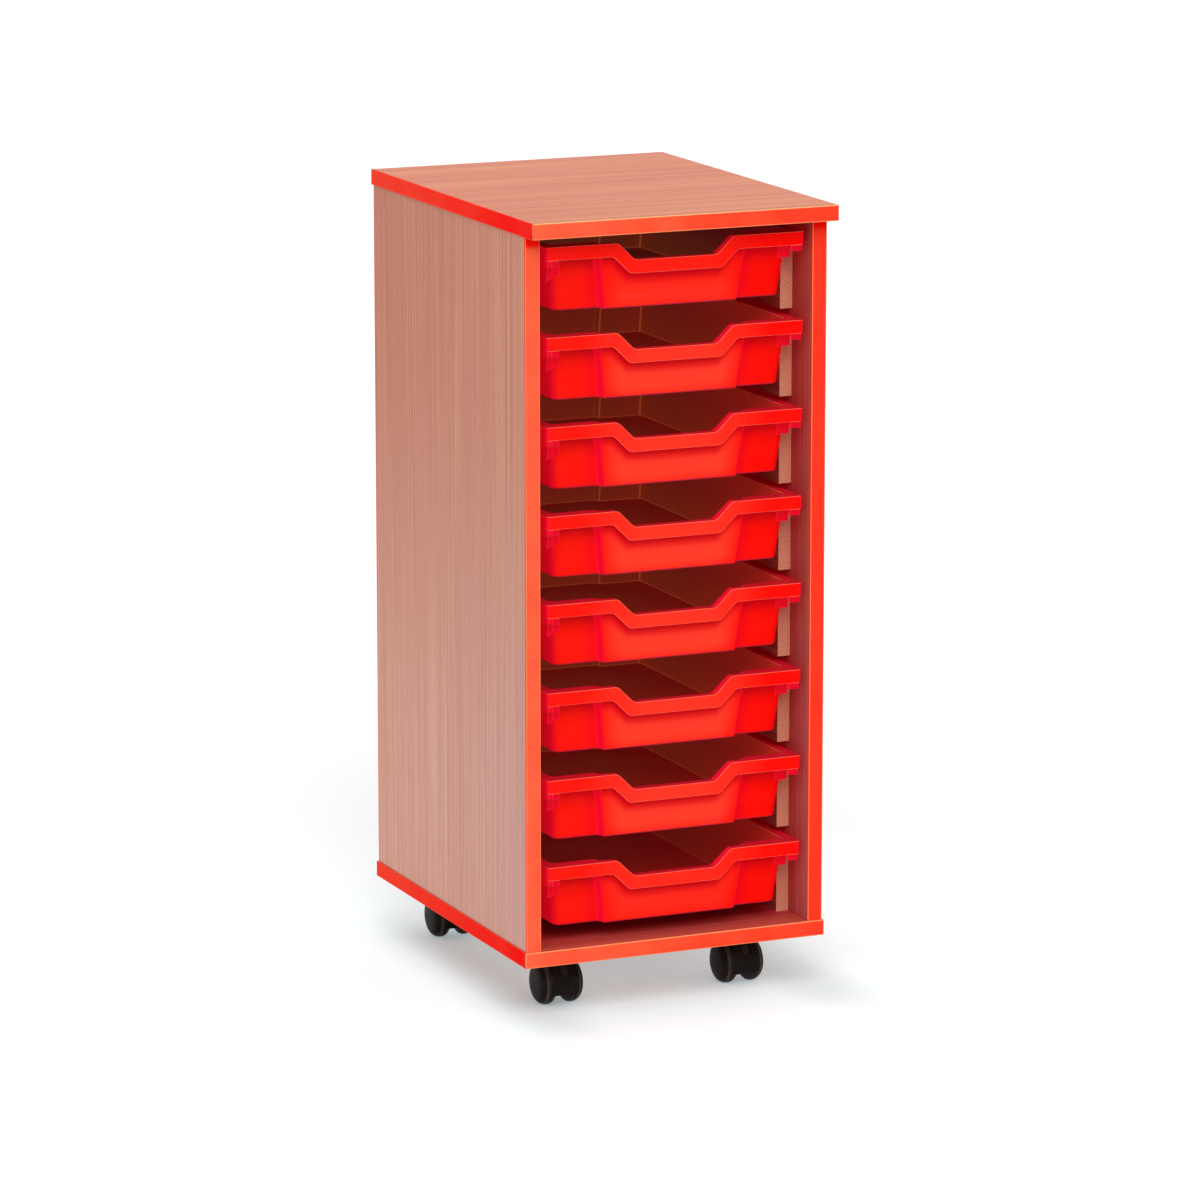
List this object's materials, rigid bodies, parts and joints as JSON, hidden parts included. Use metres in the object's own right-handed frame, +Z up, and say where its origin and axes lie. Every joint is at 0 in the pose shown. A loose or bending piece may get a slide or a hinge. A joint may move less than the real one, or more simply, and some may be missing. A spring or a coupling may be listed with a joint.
{
  "type": "tray storage unit",
  "caption": "Mobile classroom storage unit: shallow moulded trays slide on runner battens in an open-fronted, colour-edged board carcass on twin-wheel castors.",
  "frame": {"origin": "on the floor, under the middle of the bounding box", "axes": "+Z up, open tray front towards -Y, +X to the right as seen by someone facing the trays"},
  "size_m": [0.37, 0.478, 0.911],
  "materials": {
    "beech_board": "satin beech-effect melamine facing with a fine straight grain",
    "red_edging": "satin red plastic edging strip",
    "batten_board": "cut chipboard",
    "tray_plastic": "satin moulded red plastic, faintly translucent at thin edges",
    "castor_plastic": "satin black moulded plastic",
    "zinc_steel": "bright zinc plate",
    "dowel_wood": "turned beech dowel"
  },
  "bodies": {
    "carcass": {"top_panel": "beech_board", "base_panel": "beech_board", "left_side_panel": "beech_board", "right_side_panel": "beech_board", "back_panel": "beech_board", "top_edging": "red_edging", "base_edging": "red_edging", "left_side_edging": "red_edging", "right_side_edging": "red_edging", "carcass_dowels": "dowel_wood", "batten_screws": "zinc_steel", "castor_screws": "zinc_steel", "left_batten_1": "batten_board", "right_batten_1": "batten_board", "left_batten_2": "batten_board", "right_batten_2": "batten_board", "left_batten_3": "batten_board", "right_batten_3": "batten_board", "left_batten_4": "batten_board", "right_batten_4": "batten_board", "left_batten_5": "batten_board", "right_batten_5": "batten_board", "left_batten_6": "batten_board", "right_batten_6": "batten_board", "left_batten_7": "batten_board", "right_batten_7": "batten_board", "left_batten_8": "batten_board", "right_batten_8": "batten_board", "castor_front_left_plate": "zinc_steel", "castor_front_left_pin": "zinc_steel", "castor_front_right_plate": "zinc_steel", "castor_front_right_pin": "zinc_steel", "castor_back_left_plate": "zinc_steel", "castor_back_left_pin": "zinc_steel", "castor_back_right_plate": "zinc_steel", "castor_back_right_pin": "zinc_steel"},
    "tray_1": {"tray_1": "tray_plastic"},
    "tray_2": {"tray_2": "tray_plastic"},
    "tray_3": {"tray_3": "tray_plastic"},
    "tray_4": {"tray_4": "tray_plastic"},
    "tray_5": {"tray_5": "tray_plastic"},
    "tray_6": {"tray_6": "tray_plastic"},
    "tray_7": {"tray_7": "tray_plastic"},
    "tray_8": {"tray_8": "tray_plastic"},
    "castor_front_left_swivel": {"castor_front_left_hood": "castor_plastic", "castor_front_left_axle": "zinc_steel"},
    "castor_front_left_wheel_left": {"castor_front_left_wheel_left": "castor_plastic"},
    "castor_front_left_wheel_right": {"castor_front_left_wheel_right": "castor_plastic"},
    "castor_front_right_swivel": {"castor_front_right_hood": "castor_plastic", "castor_front_right_axle": "zinc_steel"},
    "castor_front_right_wheel_left": {"castor_front_right_wheel_left": "castor_plastic"},
    "castor_front_right_wheel_right": {"castor_front_right_wheel_right": "castor_plastic"},
    "castor_back_left_swivel": {"castor_back_left_hood": "castor_plastic", "castor_back_left_axle": "zinc_steel"},
    "castor_back_left_wheel_left": {"castor_back_left_wheel_left": "castor_plastic"},
    "castor_back_left_wheel_right": {"castor_back_left_wheel_right": "castor_plastic"},
    "castor_back_right_swivel": {"castor_back_right_hood": "castor_plastic", "castor_back_right_axle": "zinc_steel"},
    "castor_back_right_wheel_left": {"castor_back_right_wheel_left": "castor_plastic"},
    "castor_back_right_wheel_right": {"castor_back_right_wheel_right": "castor_plastic"}
  },
  "joints": [
    {"name": "tray_1_slide", "type": "slide", "parent": "carcass", "child": "tray_1", "axis": [0, -1, 0], "range_m": [0, 0.44]},
    {"name": "tray_2_slide", "type": "slide", "parent": "carcass", "child": "tray_2", "axis": [0, -1, 0], "range_m": [0, 0.44]},
    {"name": "tray_3_slide", "type": "slide", "parent": "carcass", "child": "tray_3", "axis": [0, -1, 0], "range_m": [0, 0.44]},
    {"name": "tray_4_slide", "type": "slide", "parent": "carcass", "child": "tray_4", "axis": [0, -1, 0], "range_m": [0, 0.44]},
    {"name": "tray_5_slide", "type": "slide", "parent": "carcass", "child": "tray_5", "axis": [0, -1, 0], "range_m": [0, 0.44]},
    {"name": "tray_6_slide", "type": "slide", "parent": "carcass", "child": "tray_6", "axis": [0, -1, 0], "range_m": [0, 0.44]},
    {"name": "tray_7_slide", "type": "slide", "parent": "carcass", "child": "tray_7", "axis": [0, -1, 0], "range_m": [0, 0.44]},
    {"name": "tray_8_slide", "type": "slide", "parent": "carcass", "child": "tray_8", "axis": [0, -1, 0], "range_m": [0, 0.44]},
    {"name": "castor_front_left_swivel_turn", "type": "hinge", "parent": "carcass", "child": "castor_front_left_swivel", "pos_m": [-0.113, -0.147, 0.067], "axis": [0, 0, 1], "continuous": true},
    {"name": "castor_front_left_wheel_left_roll", "type": "hinge", "parent": "castor_front_left_swivel", "child": "castor_front_left_wheel_left", "pos_m": [-0.113, -0.133, 0.025], "axis": [1, 0, 0], "continuous": true},
    {"name": "castor_front_left_wheel_right_roll", "type": "hinge", "parent": "castor_front_left_swivel", "child": "castor_front_left_wheel_right", "pos_m": [-0.113, -0.133, 0.025], "axis": [1, 0, 0], "continuous": true},
    {"name": "castor_front_right_swivel_turn", "type": "hinge", "parent": "carcass", "child": "castor_front_right_swivel", "pos_m": [0.113, -0.147, 0.067], "axis": [0, 0, 1], "continuous": true},
    {"name": "castor_front_right_wheel_left_roll", "type": "hinge", "parent": "castor_front_right_swivel", "child": "castor_front_right_wheel_left", "pos_m": [0.113, -0.133, 0.025], "axis": [1, 0, 0], "continuous": true},
    {"name": "castor_front_right_wheel_right_roll", "type": "hinge", "parent": "castor_front_right_swivel", "child": "castor_front_right_wheel_right", "pos_m": [0.113, -0.133, 0.025], "axis": [1, 0, 0], "continuous": true},
    {"name": "castor_back_left_swivel_turn", "type": "hinge", "parent": "carcass", "child": "castor_back_left_swivel", "pos_m": [-0.113, 0.171, 0.067], "axis": [0, 0, 1], "continuous": true},
    {"name": "castor_back_left_wheel_left_roll", "type": "hinge", "parent": "castor_back_left_swivel", "child": "castor_back_left_wheel_left", "pos_m": [-0.113, 0.185, 0.025], "axis": [1, 0, 0], "continuous": true},
    {"name": "castor_back_left_wheel_right_roll", "type": "hinge", "parent": "castor_back_left_swivel", "child": "castor_back_left_wheel_right", "pos_m": [-0.113, 0.185, 0.025], "axis": [1, 0, 0], "continuous": true},
    {"name": "castor_back_right_swivel_turn", "type": "hinge", "parent": "carcass", "child": "castor_back_right_swivel", "pos_m": [0.113, 0.171, 0.067], "axis": [0, 0, 1], "continuous": true},
    {"name": "castor_back_right_wheel_left_roll", "type": "hinge", "parent": "castor_back_right_swivel", "child": "castor_back_right_wheel_left", "pos_m": [0.113, 0.185, 0.025], "axis": [1, 0, 0], "continuous": true},
    {"name": "castor_back_right_wheel_right_roll", "type": "hinge", "parent": "castor_back_right_swivel", "child": "castor_back_right_wheel_right", "pos_m": [0.113, 0.185, 0.025], "axis": [1, 0, 0], "continuous": true}
  ]
}
